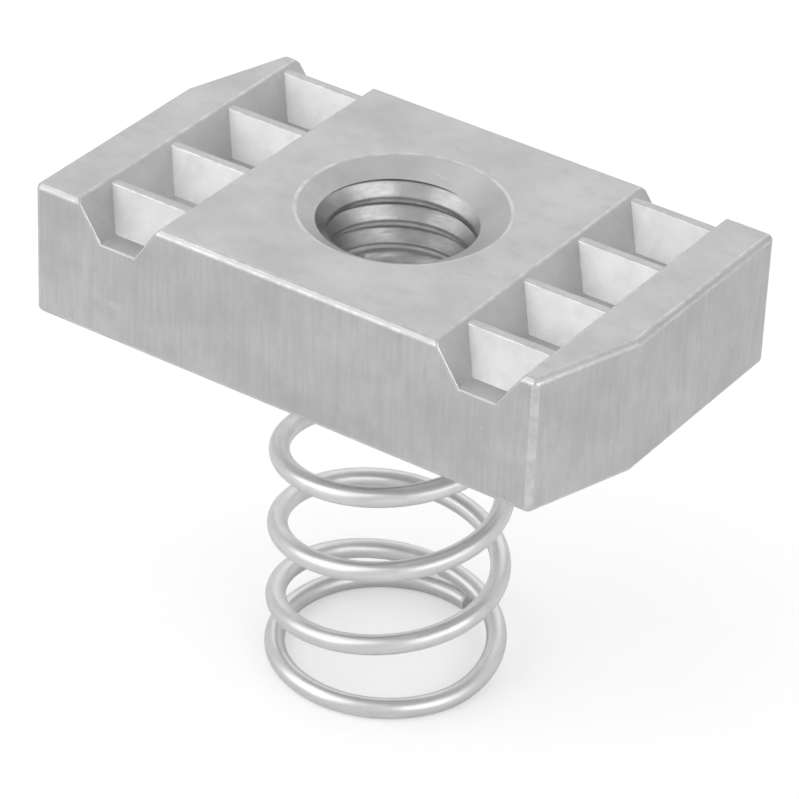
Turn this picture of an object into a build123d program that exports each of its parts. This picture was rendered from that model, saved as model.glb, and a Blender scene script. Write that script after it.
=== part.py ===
"""Strut channel spring nut: a toothed steel nut with a coil spring staked under it.

The nut slips lengthwise through the slot of a strut channel and turns a quarter
turn behind its inturned lips, which sit in the two toothed grooves.  The spring
stands on the channel's back and holds the nut up while the bolt is started.

Frame: origin on the bore axis at the spring's foot, +X along the nut, +Z up the bore.
"""

from build123d import *
import os
from math import cos, radians, sin, tan

# ---------------------------------------------------------------- sizes, mm
# Nut blank
nut_length = 35.0
nut_width = 20.6
nut_thickness = 8.3
corner_cut_x = 2.1  # the two cut corners let the nut turn in the channel
corner_cut_y = 6.7
corner_radius = 0.4  # standing corners, softened by the blanking tool
rim_chamfer = 0.25  # broken edge round the top and the underside

# Toothed grooves for the channel's lips
groove_end_land = 2.95  # top face left between each groove and the nut's end
groove_top_width = 5.5
groove_floor_width = 2.3
groove_depth = 2.3

# Cross ribs in each groove, spread over the nut's width
rib_count = 4
rib_pitch_share = 0.26  # of the nut's width, from one rib to the next
first_rib_share = 0.155  # of the nut's width, from the front face to the first rib's middle
rib_crest_width = 0.5
rib_base_width = 3.6
rib_crest_drop = 0.2  # crests lie this far under the nut's top face

# M10 x 1.5 tapped bore: the wall is at the thread's tapping diameter
bore_diameter = 8.5
countersink_angle = 120.0
top_countersink_ratio = 1.4  # mouth to bore diameter
under_countersink_share = 0.63  # of the flat ring between the bore and the spring's seat

# Coil spring
wire_diameter = 1.2
coil_mean_diameter = 12.9
spring_height = 21.6  # foot to the nut's underside
active_turns = 4.3
closed_end_gap = 0.09  # between the wire's end and the coil that passes it
ease_turn = 20.0  # degrees over which a closed end bends into the pitch
bend_turn = 30.0  # degrees of pitched coil that one arc of the centre line follows
coil_start_angle = 75.0

# Spring seat and the stakes that hold the spring in it
seat_clearance = 0.1  # between the wire and the seat's walls and floor
wire_recess = 0.1  # the wire's lowest point in the seat, above the underside
stake_angles = (150.0, 240.0, 330.0)
stake_width = 1.8
stake_height = 0.3
stake_root = 0.5  # metal of the lip that overlaps the solid nut
punch_diameter = 1.6
punch_depth = 0.5
punch_edge_gap = 0.25  # seat wall to the punch mark

# ---------------------------------------------------------------- derived
underside_z = spring_height
top_z = underside_z + nut_thickness
wire_radius = wire_diameter / 2
coil_radius = coil_mean_diameter / 2
seat_inner_radius = coil_radius - wire_radius - seat_clearance
seat_outer_radius = coil_radius + wire_radius + seat_clearance
seat_depth = wire_recess + wire_diameter + seat_clearance
top_countersink_diameter = bore_diameter * top_countersink_ratio
under_countersink_diameter = (
    bore_diameter + under_countersink_share * (2 * seat_inner_radius - bore_diameter)
)


# ---------------------------------------------------------------- groove
groove_spacing = nut_length - 2 * groove_end_land - groove_top_width
groove_floor_z = top_z - groove_depth
rib_crest_z = top_z - rib_crest_drop
rib_pitch = nut_width * rib_pitch_share
first_rib_y = nut_width * (first_rib_share - 0.5)

with BuildPart() as groove_space:
    # The trapezoid channel that is cut from the nut, from its front to its back face ...
    with BuildSketch(Plane.XZ):
        Polygon(
            (-groove_floor_width / 2, groove_floor_z),
            (groove_floor_width / 2, groove_floor_z),
            (groove_top_width / 2, top_z),
            (-groove_top_width / 2, top_z),
            align=None,
        )
    extrude(amount=nut_width / 2, both=True)
    # ... less the ribs that stay standing across it.
    with BuildSketch(Plane.YZ):
        for rib in range(rib_count):
            rib_y = first_rib_y + rib * rib_pitch
            Polygon(
                (rib_y - rib_base_width / 2, groove_floor_z),
                (rib_y + rib_base_width / 2, groove_floor_z),
                (rib_y + rib_crest_width / 2, rib_crest_z),
                (rib_y - rib_crest_width / 2, rib_crest_z),
                align=None,
            )
    extrude(amount=groove_top_width / 2, both=True, mode=Mode.SUBTRACT)


# ---------------------------------------------------------------- nut
half_length = nut_length / 2
half_width = nut_width / 2


def countersink_depth(mouth_diameter):
    """Depth of a countersink between its mouth and the bore wall."""
    return (mouth_diameter - bore_diameter) / 2 / tan(radians(countersink_angle / 2))


with BuildPart() as nut_body:
    # Blank, with two opposite corners cut
    with BuildSketch(Plane.XY.offset(underside_z)):
        Polygon(
            (-half_length, -half_width),
            (half_length - corner_cut_x, -half_width),
            (half_length, -half_width + corner_cut_y),
            (half_length, half_width),
            (-half_length + corner_cut_x, half_width),
            (-half_length, half_width - corner_cut_y),
            align=None,
        )
    extrude(amount=nut_thickness)
    fillet(nut_body.edges().filter_by(Axis.Z), radius=corner_radius)
    rims = nut_body.faces().sort_by(Axis.Z)
    chamfer(rims[0].edges() + rims[-1].edges(), length=rim_chamfer)

    # Toothed grooves
    with GridLocations(groove_spacing, 0, 2, 1):
        add(groove_space.part, mode=Mode.SUBTRACT)

    # Tapped bore with its countersinks
    with BuildSketch(Plane.XZ):
        Polygon(
            (0, underside_z),
            (under_countersink_diameter / 2, underside_z),
            (bore_diameter / 2, underside_z + countersink_depth(under_countersink_diameter)),
            (bore_diameter / 2, top_z - countersink_depth(top_countersink_diameter)),
            (top_countersink_diameter / 2, top_z),
            (0, top_z),
            align=None,
        )
    revolve(axis=Axis.Z, mode=Mode.SUBTRACT)

    # Ring-shaped seat for the spring's head turn
    with BuildSketch(Plane.XY.offset(underside_z)):
        Circle(seat_outer_radius)
        Circle(seat_inner_radius, mode=Mode.SUBTRACT)
    extrude(amount=seat_depth, mode=Mode.SUBTRACT)

    # Stakes: lips punched over the wire, and the marks that the punch left.
    # Each lip reaches in as far as the wire leaves room for at the lip's height.
    lip_level = wire_radius - (stake_height - wire_recess)
    wire_half_chord = (wire_radius**2 - lip_level**2) ** 0.5
    lip_tip_radius = coil_radius + wire_half_chord + seat_clearance
    lip_length = seat_outer_radius + stake_root - lip_tip_radius
    punch_radius = punch_diameter / 2
    punch_ball_radius = (punch_radius**2 + punch_depth**2) / (2 * punch_depth)
    punch_circle_radius = seat_outer_radius + punch_edge_gap + punch_radius
    for angle in stake_angles:
        facing = Rotation(0, 0, angle)
        with Locations(facing * Pos(lip_tip_radius, 0, underside_z)):
            Box(lip_length, stake_width, stake_height, align=(Align.MIN, Align.CENTER, Align.MIN))
        with Locations(facing * Pos(punch_circle_radius, 0, underside_z + punch_depth - punch_ball_radius)):
            Sphere(punch_ball_radius, mode=Mode.SUBTRACT)

nut_body.part.label = "nut_body"


# ---------------------------------------------------------------- spring
foot_wire_z = wire_radius
head_wire_z = underside_z + wire_recess + wire_radius
ease_turns = ease_turn / 360
coil_pitch = (head_wire_z - foot_wire_z) / active_turns
# Each end is closed: level until the coil has just room to climb over the wire's end
climb_turns = (wire_diameter + closed_end_gap) / coil_pitch + ease_turns / 2
closed_turn = 360 * (1 - climb_turns)
rise_start = closed_turn
rise_end = rise_start + 360 * (active_turns + ease_turns)
coil_end = rise_end + closed_turn


def eased_rise(turns):
    """Rise, in turns of full pitch, at a number of turns past the end of the level wire."""
    if turns <= 0:
        return 0.0
    if turns < ease_turns:
        return turns**2 / (2 * ease_turns)
    return turns - ease_turns / 2


def wire_centre(angle):
    """Point on the wire's centre line, at an angle along the coil from its foot end."""
    from_foot = eased_rise((angle - rise_start) / 360)
    from_head = eased_rise((rise_end - angle) / 360)
    if angle < (rise_start + rise_end) / 2:
        height = foot_wire_z + coil_pitch * from_foot
    else:
        height = head_wire_z - coil_pitch * from_head
    direction = radians(coil_start_angle + angle)
    return (coil_radius * cos(direction), coil_radius * sin(direction), height)


helix_start = rise_start + ease_turn
helix_end = rise_end - ease_turn
bend_count = round((helix_end - helix_start) / bend_turn)

with BuildPart() as coil_spring:
    # The centre line: the foot ring, the pitched coil as short tangent arcs, and the head ring
    with BuildLine() as wire_path:
        foot_ring = ThreePointArc(wire_centre(0), wire_centre(rise_start / 2), wire_centre(rise_start))
        bend = TangentArc(foot_ring @ 1, wire_centre(helix_start), tangent=foot_ring % 1)
        for number in range(bend_count):
            bend_end = helix_start + (helix_end - helix_start) * (number + 1) / bend_count
            bend = TangentArc(bend @ 1, wire_centre(bend_end), tangent=bend % 1)
        bend = TangentArc(bend @ 1, wire_centre(rise_end), tangent=bend % 1)
        TangentArc(bend @ 1, wire_centre(coil_end), tangent=bend % 1)
    with BuildSketch(Plane(origin=foot_ring @ 0, z_dir=foot_ring % 0)):
        Circle(wire_radius)
    sweep(path=wire_path.line, is_frenet=True)

coil_spring.part.label = "coil_spring"

# ---------------------------------------------------------------- export
os.makedirs("parts", exist_ok=True)
export_step(nut_body.part, "parts/nut_body.step")
export_step(coil_spring.part, "parts/coil_spring.step")
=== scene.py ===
import math

import bmesh
import bpy
from mathutils import Matrix, Vector


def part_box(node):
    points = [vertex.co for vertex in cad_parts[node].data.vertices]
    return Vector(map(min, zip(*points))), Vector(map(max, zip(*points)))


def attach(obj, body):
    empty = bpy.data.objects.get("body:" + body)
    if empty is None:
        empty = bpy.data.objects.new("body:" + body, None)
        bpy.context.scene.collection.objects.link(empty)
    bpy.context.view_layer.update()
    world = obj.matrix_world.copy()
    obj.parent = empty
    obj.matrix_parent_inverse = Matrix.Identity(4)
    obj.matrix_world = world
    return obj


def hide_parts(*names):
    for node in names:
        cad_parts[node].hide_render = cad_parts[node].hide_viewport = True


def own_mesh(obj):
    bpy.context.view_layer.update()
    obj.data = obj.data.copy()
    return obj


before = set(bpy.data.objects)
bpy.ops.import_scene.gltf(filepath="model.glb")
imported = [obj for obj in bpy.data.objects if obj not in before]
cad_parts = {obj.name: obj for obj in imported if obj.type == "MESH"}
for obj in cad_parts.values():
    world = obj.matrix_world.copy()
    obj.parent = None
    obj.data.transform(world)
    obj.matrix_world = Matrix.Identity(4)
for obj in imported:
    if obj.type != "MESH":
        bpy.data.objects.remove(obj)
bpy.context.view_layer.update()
scene = bpy.context.scene
MM = 0.001

# ---------------------------------------------------------------- places, from the CAD part
nut_low, nut_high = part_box("nut_body")
spring_low, spring_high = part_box("coil_spring")
underside_z = nut_low.z / MM
top_z = nut_high.z / MM
floor_z = spring_low.z

# ---------------------------------------------------------------- sizes, mm and degrees
# Spring: the wire's path is the CAD part's
WIRE_DIAMETER = 1.2
ACTIVE_TURNS = 4.3
COIL_START_ANGLE = 75.0
EASE_ANGLE = 20.0  # over which a closed end bends into the pitch
CLOSED_END_GAP = 0.09  # between the wire's end and the coil that passes it
TUBE_SIDES = 24
TUBE_STEP_ANGLE = 5.0
BROKEN_END_LENGTH = 0.12  # of wire, over which a cut end's edge is broken
BROKEN_END_SHARE = 0.86  # of the wire's radius, at the end's face
SPRING_SHARP_ANGLE = 40.0

# M10 x 1.5 thread, cut into the CAD part's plain bore
BORE_RADIUS = 4.25
THREAD_PITCH = 1.5
THREAD_ROOT_RADIUS = 5.0
THREAD_FLANK_ANGLE = 30.0
THREAD_STEPS_PER_TURN = 72
THREAD_TOP_ANGLE = 13.7  # where the thread's top end is, round the bore
THREAD_BELOW_TOP = 0.15  # from the nut's top face to the thread's top end
THREAD_ABOVE_UNDERSIDE = 0.75  # clear of the lower countersink
THREAD_RUN_OUT_TURNS = 0.3  # over which the lower end gets shallow
THREAD_CUTTER_OVERLAP = 0.3  # of the cutter's body inside the bore's wall
THREAD_START_SINK = 0.02  # of the cutter's first section inside the bore's wall

# Rounded edges of the nut: their plating is rubbed, and painted brighter as a highlight
MERGE_DISTANCE = 0.0005
MERGE_ANGLE = 0.4
ROUNDED_EDGE_WIDTH = 0.11
ROUNDED_EDGE_SEGMENTS = 3
LEAST_ROUNDED_ANGLE = 24.0
UNDERSIDE_WORK_RADIUS = 9.2  # the seat, the stakes and their punch marks lie within these two
UNDERSIDE_WORK_HEIGHT = 2.5
BORE_EDGE_MARGIN = 0.4
STANDING_CORNER_Y = 9.0  # the standing corners' rounds lie further than this from the middle

# Which faces of the nut are planes, upright, level, or round walls
PLANE_AREA = 3.0  # mm2; faces with one direction and more than this in all are a plane
UPRIGHT_NORMAL_Z = 0.05
LEVEL_NORMAL_Z = 0.95
BORE_LEVEL_NORMAL_Z = 0.9
NUT_SHARP_ANGLE = 32.0
BORE_WALL_MARGIN = 0.02
SEAT_WALL_RADIUS = 7.3
SEAT_WALL_HEIGHT = 1.5
COUNTERSINK_RADIUS = 6.2
COUNTERSINK_DEPTH = 1.2
CONE_UP, CONE_IN = math.cos(math.radians(30)), math.sin(math.radians(30))  # 120-degree countersink
CONE_UP_TOLERANCE, CONE_IN_TOLERANCE = 0.02, 0.03

# The nut's material slots
# slot 1 is the rubbed edges' plating, painted brighter as a highlight
STEEL, RUBBED_HIGHLIGHT, TAPPED = 0, 1, 2

# Floor and light
FLOOR_HALF_SIZE_M = 3.0
FLOOR_LIFT = 0.30  # light added to what the camera sees of the floor near the part
FLOOR_FADE_START, FLOOR_FADE_END = 120.0, 420.0  # from the middle; white from there on
WHITE = (1.0, 1.0, 1.0, 1.0)
AMBIENT_COLOUR = (0.8, 0.8, 0.8, 1.0)
AMBIENT_STRENGTH = 0.84

# Camera, fitted to the picture
CAMERA_LENS, CAMERA_SENSOR = 192.43, 36.0
CAMERA_AZIMUTH, CAMERA_ELEVATION, CAMERA_ROLL = 33.362, 32.960, 2.476
CAMERA_TARGET = (3.316, -4.636, 21.116)
CAMERA_DISTANCE_M = 0.23314
CAMERA_CLIP_M = (0.01, 20.0)


# ---------------------------------------------------------------- node tools
class Nodes:
    """The node tree of a material or a world, with short calls for adding nodes."""

    def __init__(self, owner):
        self.owner = owner
        owner.use_nodes = True
        self.tree = owner.node_tree
        self.tree.nodes.clear()

    def feed(self, socket, value):
        """Links the socket to another node's output, or sets its value."""
        if isinstance(value, bpy.types.NodeSocket):
            self.tree.links.new(value, socket)
        else:
            socket.default_value = value

    def add(self, kind, inputs=None, **settings):
        node = self.tree.nodes.new(kind)
        for key, value in settings.items():
            setattr(node, key, value)
        for key, value in (inputs or {}).items():
            self.feed(node.inputs[key], value)
        return node

    def millimetres(self, stretch=(1, 1, 1)):
        """Object coordinates in millimetres, times a stretch along each axis."""
        coord = self.add("ShaderNodeTexCoord").outputs["Object"]
        scale = [1000 * s for s in stretch]
        node = self.add("ShaderNodeVectorMath", {0: coord, 1: scale}, operation="MULTIPLY")
        return node.outputs[0]

    def noise(self, vector, scale, detail, roughness):
        inputs = {"Vector": vector, "Scale": scale, "Detail": detail, "Roughness": roughness}
        return self.add("ShaderNodeTexNoise", inputs).outputs["Fac"]

    def remap(self, value, low, high, to_low=0.0, to_high=1.0):
        inputs = {"Value": value, "From Min": low, "From Max": high}
        inputs.update({"To Min": to_low, "To Max": to_high})
        return self.add("ShaderNodeMapRange", inputs).outputs["Result"]

    def math(self, operation, a, b=0.0):
        return self.add("ShaderNodeMath", {0: a, 1: b}, operation=operation).outputs[0]

    def mix(self, factor, a, b):
        """A blend of two colours."""
        node = self.add("ShaderNodeMix", data_type="RGBA")
        for name, value in (("Factor", factor), ("A", a), ("B", b)):
            self.feed([s for s in node.inputs if s.name == name and s.enabled][0], value)
        return [s for s in node.outputs if s.enabled][0]

    def mix_shader(self, factor, a, b):
        return self.add("ShaderNodeMixShader", {0: factor, 1: a, 2: b}).outputs[0]

    def bump(self, height, distance_mm, strength, normal=None):
        inputs = {"Height": height, "Distance": distance_mm * MM, "Strength": strength}
        if normal:
            inputs["Normal"] = normal
        return self.add("ShaderNodeBump", inputs).outputs["Normal"]

    def metal(self, colour, roughness, normal):
        """Ends the tree in a metal's surface, and returns the material."""
        inputs = {"Base Color": colour, "Roughness": roughness, "Metallic": 1.0, "Normal": normal}
        shader = self.add("ShaderNodeBsdfPrincipled", inputs)
        self.add("ShaderNodeOutputMaterial", {"Surface": shader.outputs[0]})
        return self.owner


def material_nodes(name):
    return Nodes(bpy.data.materials.new(name))


def grey(value):
    return (value, value * 1.004, value * 1.012, 1.0)


# ---------------------------------------------------------------- materials
# Noise scales are per millimetre, bump distances are in millimetres
def plated_steel():
    """Zinc-plated steel: cloudy tone, fine grain, faint hairlines, streaks on the sheared sides."""
    dark, light, roughness = 0.57, 0.67, 0.40
    n = material_nodes("plated_nut_steel")
    where = n.millimetres()
    cloud = n.noise(where, 0.23, 4.0, 0.6)
    grain = n.noise(where, 7.0, 2.0, 0.6)
    smudge = n.noise(n.millimetres((1.0, 1.6, 0.8)), 0.75, 5.0, 0.65)
    faces = n.add("ShaderNodeNewGeometry").outputs["Normal"]
    upward = n.add("ShaderNodeSeparateXYZ", {0: faces}).outputs[2]
    on_side = n.remap(n.math("ABSOLUTE", upward), 0.15, 0.02)
    streak = n.noise(n.millimetres((1.0, 1.0, 0.07)), 5.0, 3.0, 0.6)
    hairline = n.remap(n.noise(n.millimetres((0.35, 3.0, 1.0)), 1.6, 2.0, 0.4), 0.735, 0.76)

    tone = n.mix(n.remap(cloud, 0.35, 0.68), grey(dark), grey(light))
    tone = n.mix(n.remap(smudge, 0.52, 0.72, 0.0, 0.30), tone, grey(dark * 0.86))
    streaked = n.math("MULTIPLY", n.remap(streak, 0.4, 0.7, 0.0, 0.35), on_side)
    tone = n.mix(streaked, tone, grey(dark * 0.82))
    tone = n.mix(n.math("MULTIPLY", hairline, 0.35), tone, grey(light * 1.15))
    half_grain, half_smudge = n.math("MULTIPLY", grain, 0.5), n.math("MULTIPLY", smudge, 0.5)
    unevenness = n.math("ADD", half_grain, half_smudge)
    rough = n.remap(unevenness, 0.3, 0.7, roughness - 0.05, roughness + 0.08)
    normal = n.bump(grain, 0.010, 0.55)
    normal = n.bump(n.math("MULTIPLY", streak, on_side), 0.020, 0.6, normal)
    normal = n.bump(hairline, -0.008, 0.7, normal)
    return n.metal(tone, rough, normal)


def rubbed_edge_highlight():
    """Plating rubbed along an edge, and painted brighter there as a highlight."""
    n = material_nodes("rubbed_edge_highlight")
    where = n.millimetres()
    worn = n.noise(where, 1.3, 4.0, 0.65)
    grain = n.noise(where, 9.0, 2.0, 0.5)
    # painted highlight: the edge's grey is brighter than the faces' grey, on top of the rubbed
    # plating
    tone = n.mix(n.remap(worn, 0.4, 0.62), grey(0.64), grey(0.76))
    rough = n.remap(worn, 0.35, 0.65, 0.40, 0.27)
    return n.metal(tone, rough, n.bump(grain, 0.008, 0.5))


def tapped_wall():
    """The thread's flanks: machined, a little darker, with fine lines round the bore."""
    n = material_nodes("tapped_wall")
    where = n.millimetres()
    rings = n.noise(n.millimetres((0.12, 0.12, 1.0)), 9.0, 2.0, 0.6)
    stain = n.noise(where, 0.9, 4.0, 0.6)
    tone = n.mix(n.remap(stain, 0.35, 0.7), grey(0.60), grey(0.48))
    rough = n.remap(rings, 0.3, 0.7, 0.28, 0.44)
    return n.metal(tone, rough, n.bump(rings, 0.008, 0.6))


def spring_wire():
    """Bright drawn wire: streaks run along it, from the die that it was pulled through."""
    n = material_nodes("spring_wire")
    uv = n.add("ShaderNodeUVMap", uv_map="wire").outputs[0]
    stretched = {0: uv, 1: (0.25, 9.0, 1.0)}
    along = n.add("ShaderNodeVectorMath", stretched, operation="MULTIPLY").outputs[0]
    streak = n.noise(along, 1.0, 4.0, 0.6)
    where = n.millimetres()
    cloud = n.noise(where, 0.6, 4.0, 0.6)
    grain = n.noise(where, 11.0, 2.0, 0.5)
    tone = n.mix(n.remap(streak, 0.36, 0.66), grey(0.74), grey(0.86))
    tone = n.mix(n.remap(cloud, 0.5, 0.72, 0.0, 0.4), tone, grey(0.64))
    rough = n.remap(streak, 0.3, 0.7, 0.38, 0.27)
    normal = n.bump(streak, 0.006, 0.55)
    return n.metal(tone, rough, n.bump(grain, 0.004, 0.5, normal))


def cut_end():
    """The torn face where the wire was cut off."""
    n = material_nodes("cut_end")
    torn = n.noise(n.millimetres(), 5.0, 4.0, 0.7)
    tone = n.mix(n.remap(torn, 0.35, 0.65), grey(0.40), grey(0.58))
    return n.metal(tone, n.remap(torn, 0.3, 0.7, 0.35, 0.6), n.bump(torn, 0.03, 0.6))


# ---------------------------------------------------------------- mesh tools
def object_from(name, bm, materials):
    mesh = bpy.data.meshes.new(name)
    bm.to_mesh(mesh)
    bm.free()
    made = bpy.data.objects.new(name, mesh)
    scene.collection.objects.link(made)
    for material in materials:
        mesh.materials.append(material)
    return made


def from_axis(point):
    """How far a point is from the bore's axis."""
    return math.hypot(point.x, point.y)


def direction(normal):
    """A normal, rounded so that the faces of one plane share it."""
    return tuple(round(c, 2) for c in normal)


# ---------------------------------------------------------------- nut, made in millimetres
def thread_cutter(materials):
    """A helical ridge round the bore's axis, which cuts the thread.
    It breaks out into the top countersink and runs out in the wall above the lower one."""
    slope = math.tan(math.radians(THREAD_FLANK_ANGLE))
    root_half = THREAD_PITCH / 16
    low = underside_z + THREAD_ABOVE_UNDERSIDE
    high = top_z - THREAD_BELOW_TOP
    inner_radius = BORE_RADIUS - THREAD_CUTTER_OVERLAP
    count = int((high - low) / THREAD_PITCH * THREAD_STEPS_PER_TURN)
    bm = bmesh.new()
    rings = []
    for step in range(count + 1):
        turns_from_top = (count - step) / THREAD_STEPS_PER_TURN
        angle = math.radians(THREAD_TOP_ANGLE) - 2 * math.pi * turns_from_top
        turns_from_low = step / THREAD_STEPS_PER_TURN
        z = low + THREAD_PITCH * turns_from_low
        depth_share = min(1.0, turns_from_low / THREAD_RUN_OUT_TURNS)
        radius = BORE_RADIUS + (THREAD_ROOT_RADIUS - BORE_RADIUS) * depth_share
        if step == 0:
            radius -= THREAD_START_SINK
        inner_half = root_half + (radius - inner_radius) * slope
        section = (
            (inner_radius, -inner_half),
            (radius, -root_half),
            (radius, root_half),
            (inner_radius, inner_half),
        )
        cos, sin = math.cos(angle), math.sin(angle)
        rings.append([bm.verts.new((r * cos, r * sin, z + dz)) for r, dz in section])
    for a, b in zip(rings, rings[1:]):
        for k in range(4):
            bm.faces.new((a[k], b[k], b[(k + 1) % 4], a[(k + 1) % 4]))
    bm.faces.new(rings[0])
    bm.faces.new(rings[-1][::-1])
    bmesh.ops.recalc_face_normals(bm, faces=bm.faces)
    for face in bm.faces:
        face.material_index = TAPPED
    return object_from("thread_cutter", bm, materials)


def is_rubbed_highlit_edge(edge):
    """An edge of the outside, a groove or a rib: not one in the bore, the seat or a punch mark."""
    if len(edge.link_faces) != 2 or not edge.is_convex:
        return False
    if edge.calc_face_angle() < math.radians(LEAST_ROUNDED_ANGLE):
        return False
    centre = (edge.verts[0].co + edge.verts[1].co) / 2
    radius = from_axis(centre)
    if radius < UNDERSIDE_WORK_RADIUS and centre.z < underside_z + UNDERSIDE_WORK_HEIGHT:
        return False
    return radius > BORE_RADIUS + BORE_EDGE_MARGIN


def is_round_wall(polygon):
    """A facet of the bore, the thread, a countersink or the spring's seat."""
    if polygon.material_index == TAPPED:
        return True
    radius = from_axis(polygon.center)
    in_seat = radius < SEAT_WALL_RADIUS and polygon.center.z < underside_z + SEAT_WALL_HEIGHT
    return abs(polygon.normal.z) < LEVEL_NORMAL_Z and (in_seat or radius < COUNTERSINK_RADIUS)


def countersink_normal(polygon, vertex):
    """The true cone's normal, for a facet of the top countersink; None for any other facet."""
    if polygon.material_index != STEEL or polygon.center.z < top_z - COUNTERSINK_DEPTH:
        return None
    if abs(polygon.normal.z - CONE_UP) >= CONE_UP_TOLERANCE:
        return None
    outward = Vector((polygon.center.x, polygon.center.y, 0)).normalized()
    if abs(polygon.normal.dot(outward) + CONE_IN) >= CONE_IN_TOLERANCE:
        return None
    outward = Vector((vertex.co.x, vertex.co.y, 0)).normalized()
    return Vector((0, 0, CONE_UP)) - outward * CONE_IN


# The CAD mesh with its plane faces joined, and its outer edges rounded, rubbed and given a painted
# highlight
bm = bmesh.new()
bm.from_mesh(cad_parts["nut_body"].data)
bmesh.ops.scale(bm, vec=(1 / MM,) * 3, verts=bm.verts)
bmesh.ops.remove_doubles(bm, verts=bm.verts, dist=MERGE_DISTANCE)
bmesh.ops.dissolve_limit(
    bm, angle_limit=math.radians(MERGE_ANGLE), verts=bm.verts, edges=bm.edges
)
for face in bm.faces:
    face.material_index = STEEL
# the rounded edges get the rubbed edges' material, a painted highlight along them
# loop_slide stays off: it folds faces over at the underside
bmesh.ops.bevel(
    bm,
    geom=[edge for edge in bm.edges if is_rubbed_highlit_edge(edge)],
    offset=ROUNDED_EDGE_WIDTH,
    offset_type="OFFSET",
    segments=ROUNDED_EDGE_SEGMENTS,
    profile=0.5,
    affect="EDGES",
    clamp_overlap=True,
    material=RUBBED_HIGHLIGHT,
    loop_slide=False,
)
bmesh.ops.recalc_face_normals(bm, faces=bm.faces)

# A direction that a large area faces is a plane of the nut: it gets no rubbed, highlit edge colour,
# and it is shaded flat. The standing corners' rounds get the rubbed edges' colour too, a painted
# highlight along them.
facing = {}
for face in bm.faces:
    key = direction(face.normal)
    facing[key] = facing.get(key, 0.0) + face.calc_area()
for face in bm.faces:
    if facing[direction(face.normal)] > PLANE_AREA:
        face.material_index = STEEL
        continue
    upright = abs(face.normal.z) < UPRIGHT_NORMAL_Z
    if upright and abs(face.calc_center_median().y) > STANDING_CORNER_Y:
        face.material_index = RUBBED_HIGHLIGHT
nut_materials = [plated_steel(), rubbed_edge_highlight(), tapped_wall()]
nut = object_from("nut", bm, nut_materials)

cutter = thread_cutter(nut_materials)
cut = nut.modifiers.new("thread", "BOOLEAN")
cut.operation = "DIFFERENCE"
cut.solver = "EXACT"
cut.object = cutter
bpy.context.view_layer.update()
depsgraph = bpy.context.evaluated_depsgraph_get()
threaded = bpy.data.meshes.new_from_object(nut.evaluated_get(depsgraph))
nut.modifiers.clear()
nut.data = threaded
bpy.data.objects.remove(cutter)
for polygon in nut.data.polygons:
    in_bore = from_axis(polygon.center) < BORE_RADIUS + BORE_WALL_MARGIN
    is_wall = abs(polygon.normal.z) < BORE_LEVEL_NORMAL_Z
    if in_bore and is_wall and polygon.material_index == STEEL:
        polygon.material_index = TAPPED

# set_sharp_from_angle makes every face smooth, so the planes are made flat after it
nut.data.shade_smooth()
nut.data.set_sharp_from_angle(angle=math.radians(NUT_SHARP_ANGLE))
for polygon in nut.data.polygons:
    is_plane = facing.get(direction(polygon.normal), 0.0) > PLANE_AREA
    if is_plane and polygon.material_index == STEEL and not is_round_wall(polygon):
        polygon.use_smooth = False

corner_normals = [corner.vector.copy() for corner in nut.data.corner_normals]
for polygon in nut.data.polygons:
    for loop_index in polygon.loop_indices:
        vertex = nut.data.vertices[nut.data.loops[loop_index].vertex_index]
        true_normal = countersink_normal(polygon, vertex)
        if true_normal:
            corner_normals[loop_index] = true_normal
nut.data.normals_split_custom_set(corner_normals)
nut.data.transform(Matrix.Scale(MM, 4))
nut.data.name = "nut"
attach(nut, "nut")
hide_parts("nut_body")

# ---------------------------------------------------------------- spring
wire_radius = WIRE_DIAMETER / 2
coil_radius = (spring_high.x - spring_low.x) / MM / 2 - wire_radius
foot_wire_z = spring_low.z / MM + wire_radius
head_wire_z = spring_high.z / MM - wire_radius
ease = EASE_ANGLE / 360
coil_pitch = (head_wire_z - foot_wire_z) / ACTIVE_TURNS
closed_turn = 360 * (1 - (WIRE_DIAMETER + CLOSED_END_GAP) / coil_pitch - ease / 2)
rise_start = closed_turn
rise_end = rise_start + 360 * (ACTIVE_TURNS + ease)
coil_end = rise_end + closed_turn


def eased_rise(turns):
    """Height in pitches, this many turns after the level wire starts to climb."""
    if turns <= 0:
        return 0.0
    if turns < ease:
        return turns**2 / (2 * ease)
    return turns - ease / 2


def wire_centre(angle):
    """A point of the wire's centre line, this many degrees from the foot's end."""
    if angle < (rise_start + rise_end) / 2:
        z = foot_wire_z + coil_pitch * eased_rise((angle - rise_start) / 360)
    else:
        z = head_wire_z - coil_pitch * eased_rise((rise_end - angle) / 360)
    turned = math.radians(COIL_START_ANGLE + angle)
    return Vector((coil_radius * math.cos(turned), coil_radius * math.sin(turned), z))


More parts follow.
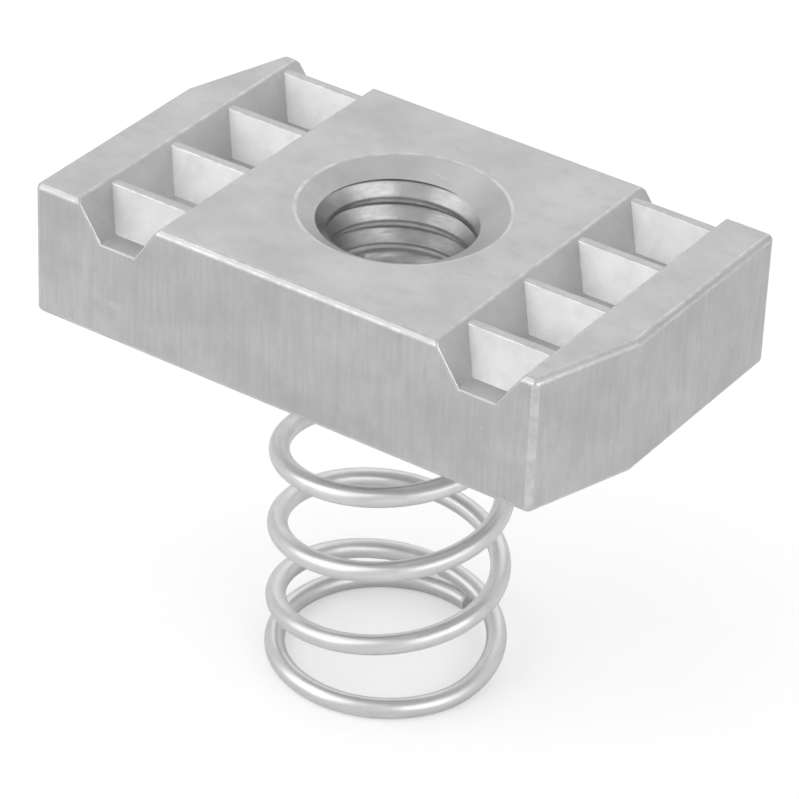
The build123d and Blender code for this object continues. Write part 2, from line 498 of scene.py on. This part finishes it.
def spring_mesh():
    """A tube of quads round the wire's centre line, with the cut ends' edges broken."""
    count = round(coil_end / TUBE_STEP_ANGLE)
    bm = bmesh.new()
    uv = bm.loops.layers.uv.new("wire")
    arc = 2 * math.pi * coil_radius / 360  # mm of wire to a degree
    broken = BROKEN_END_LENGTH / arc
    stations = [(0.0, BROKEN_END_SHARE), (broken, 1.0)]
    stations += [(coil_end * k / count, 1.0) for k in range(1, count)]
    stations += [(coil_end - broken, 1.0), (coil_end, BROKEN_END_SHARE)]
    rings = []
    for angle, share in stations:
        centre = wire_centre(angle)
        tangent = (wire_centre(angle + 0.05) - wire_centre(angle - 0.05)).normalized()
        outward = Vector((centre.x, centre.y, 0)).normalized()
        outward = (outward - tangent * outward.dot(tangent)).normalized()
        upward = outward.cross(tangent)
        ring = []
        for k in range(TUBE_SIDES):
            turn = 2 * math.pi * k / TUBE_SIDES
            offset = (outward * math.cos(turn) + upward * math.sin(turn)) * wire_radius * share
            ring.append(bm.verts.new((centre + offset) * MM))
        rings.append(ring)
    for index, (a, b) in enumerate(zip(rings, rings[1:])):
        u_a, u_b = (stations[index + side][0] * arc for side in (0, 1))
        for k in range(TUBE_SIDES):
            after = (k + 1) % TUBE_SIDES
            face = bm.faces.new((a[k], a[after], b[after], b[k]))
            face.smooth = True
            corner_uv = ((u_a, k), (u_a, k + 1), (u_b, k + 1), (u_b, k))
            for loop, (along, side) in zip(face.loops, corner_uv):
                loop[uv].uv = (along, side / TUBE_SIDES)
    for ring in (rings[0], rings[-1]):
        face = bm.faces.new(ring)
        face.material_index = 1
    bmesh.ops.recalc_face_normals(bm, faces=bm.faces)
    return bm


spring = object_from("spring", spring_mesh(), [spring_wire(), cut_end()])
spring.data.set_sharp_from_angle(angle=math.radians(SPRING_SHARP_ANGLE))
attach(spring, "spring_foot")
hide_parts("coil_spring")
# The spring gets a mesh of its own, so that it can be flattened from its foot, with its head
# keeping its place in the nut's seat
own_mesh(spring)

# ---------------------------------------------------------------- floor
# Paper that takes the part's soft shadow, lifted towards white and fading into the backdrop
n = material_nodes("studio_floor")
mottle = n.noise(n.millimetres(), 0.05, 4.0, 0.6)
paper = n.mix(mottle, (0.86, 0.86, 0.86, 1), (0.90, 0.90, 0.90, 1))
lit = n.add("ShaderNodeBsdfDiffuse", {"Color": paper}).outputs[0]
lift = n.add("ShaderNodeEmission", {"Color": WHITE, "Strength": FLOOR_LIFT}).outputs[0]
near = n.add("ShaderNodeAddShader", {0: lit, 1: lift}).outputs[0]
white = n.add("ShaderNodeEmission", {"Color": WHITE, "Strength": 1.0}).outputs[0]
level = n.millimetres((1, 1, 0))
radius = n.add("ShaderNodeVectorMath", {0: level}, operation="LENGTH").outputs["Value"]
seen = n.mix_shader(n.remap(radius, FLOOR_FADE_START, FLOOR_FADE_END), near, white)
camera_ray = n.add("ShaderNodeLightPath").outputs["Is Camera Ray"]
n.add("ShaderNodeOutputMaterial", {"Surface": n.mix_shader(camera_ray, lit, seen)})
bm = bmesh.new()
bmesh.ops.create_grid(bm, x_segments=1, y_segments=1, size=FLOOR_HALF_SIZE_M)
bmesh.ops.translate(bm, vec=(0, 0, floor_z), verts=bm.verts)
floor = object_from("floor", bm, [n.owner])

# ---------------------------------------------------------------- light: even, in front of white
scene.world = bpy.data.worlds.new("studio")
n = Nodes(scene.world)
ambient = n.add("ShaderNodeBackground", {"Color": AMBIENT_COLOUR, "Strength": AMBIENT_STRENGTH})
backdrop = n.add("ShaderNodeBackground", {"Color": WHITE, "Strength": 1.0})
camera_ray = n.add("ShaderNodeLightPath").outputs["Is Camera Ray"]
sky = n.mix_shader(camera_ray, ambient.outputs[0], backdrop.outputs[0])
n.add("ShaderNodeOutputWorld", {"Surface": sky})


def softbox(name, place, size, watts):
    """A rectangular lamp, in metres, that faces the middle of the nut."""
    lamp = bpy.data.lights.new(name, "AREA")
    lamp.shape = "RECTANGLE"
    lamp.size, lamp.size_y = size
    lamp.energy = watts
    made = bpy.data.objects.new(name, lamp)
    scene.collection.objects.link(made)
    made.location = place
    aim = Vector((0, 0, (nut_low.z + nut_high.z) / 2))
    made.rotation_euler = (aim - Vector(place)).to_track_quat("-Z", "Y").to_euler()


softbox("key", (-0.34, -0.42, 0.40), (0.75, 0.75), 1.35)
softbox("back", (-0.22, 0.42, 0.36), (0.60, 0.40), 0.22)
softbox("fill", (0.45, -0.10, 0.25), (0.50, 0.40), 0.5)

# ---------------------------------------------------------------- camera
camera_data = bpy.data.cameras.new("camera")
camera_data.sensor_width = CAMERA_SENSOR
camera_data.lens = CAMERA_LENS
camera_data.clip_start, camera_data.clip_end = CAMERA_CLIP_M
camera = bpy.data.objects.new("camera", camera_data)
scene.collection.objects.link(camera)
azimuth, elevation = math.radians(CAMERA_AZIMUTH), math.radians(CAMERA_ELEVATION)
level_share = math.cos(elevation)
back = Vector(
    (math.sin(azimuth) * level_share, -math.cos(azimuth) * level_share, math.sin(elevation))
)
roll = Matrix.Rotation(math.radians(CAMERA_ROLL), 3, "Z").to_quaternion()
camera.rotation_mode = "QUATERNION"
camera.location = Vector(CAMERA_TARGET) * MM + back * CAMERA_DISTANCE_M
camera.rotation_quaternion = back.to_track_quat("Z", "Y") @ roll
scene.camera = camera
scene.view_settings.view_transform = "Standard"
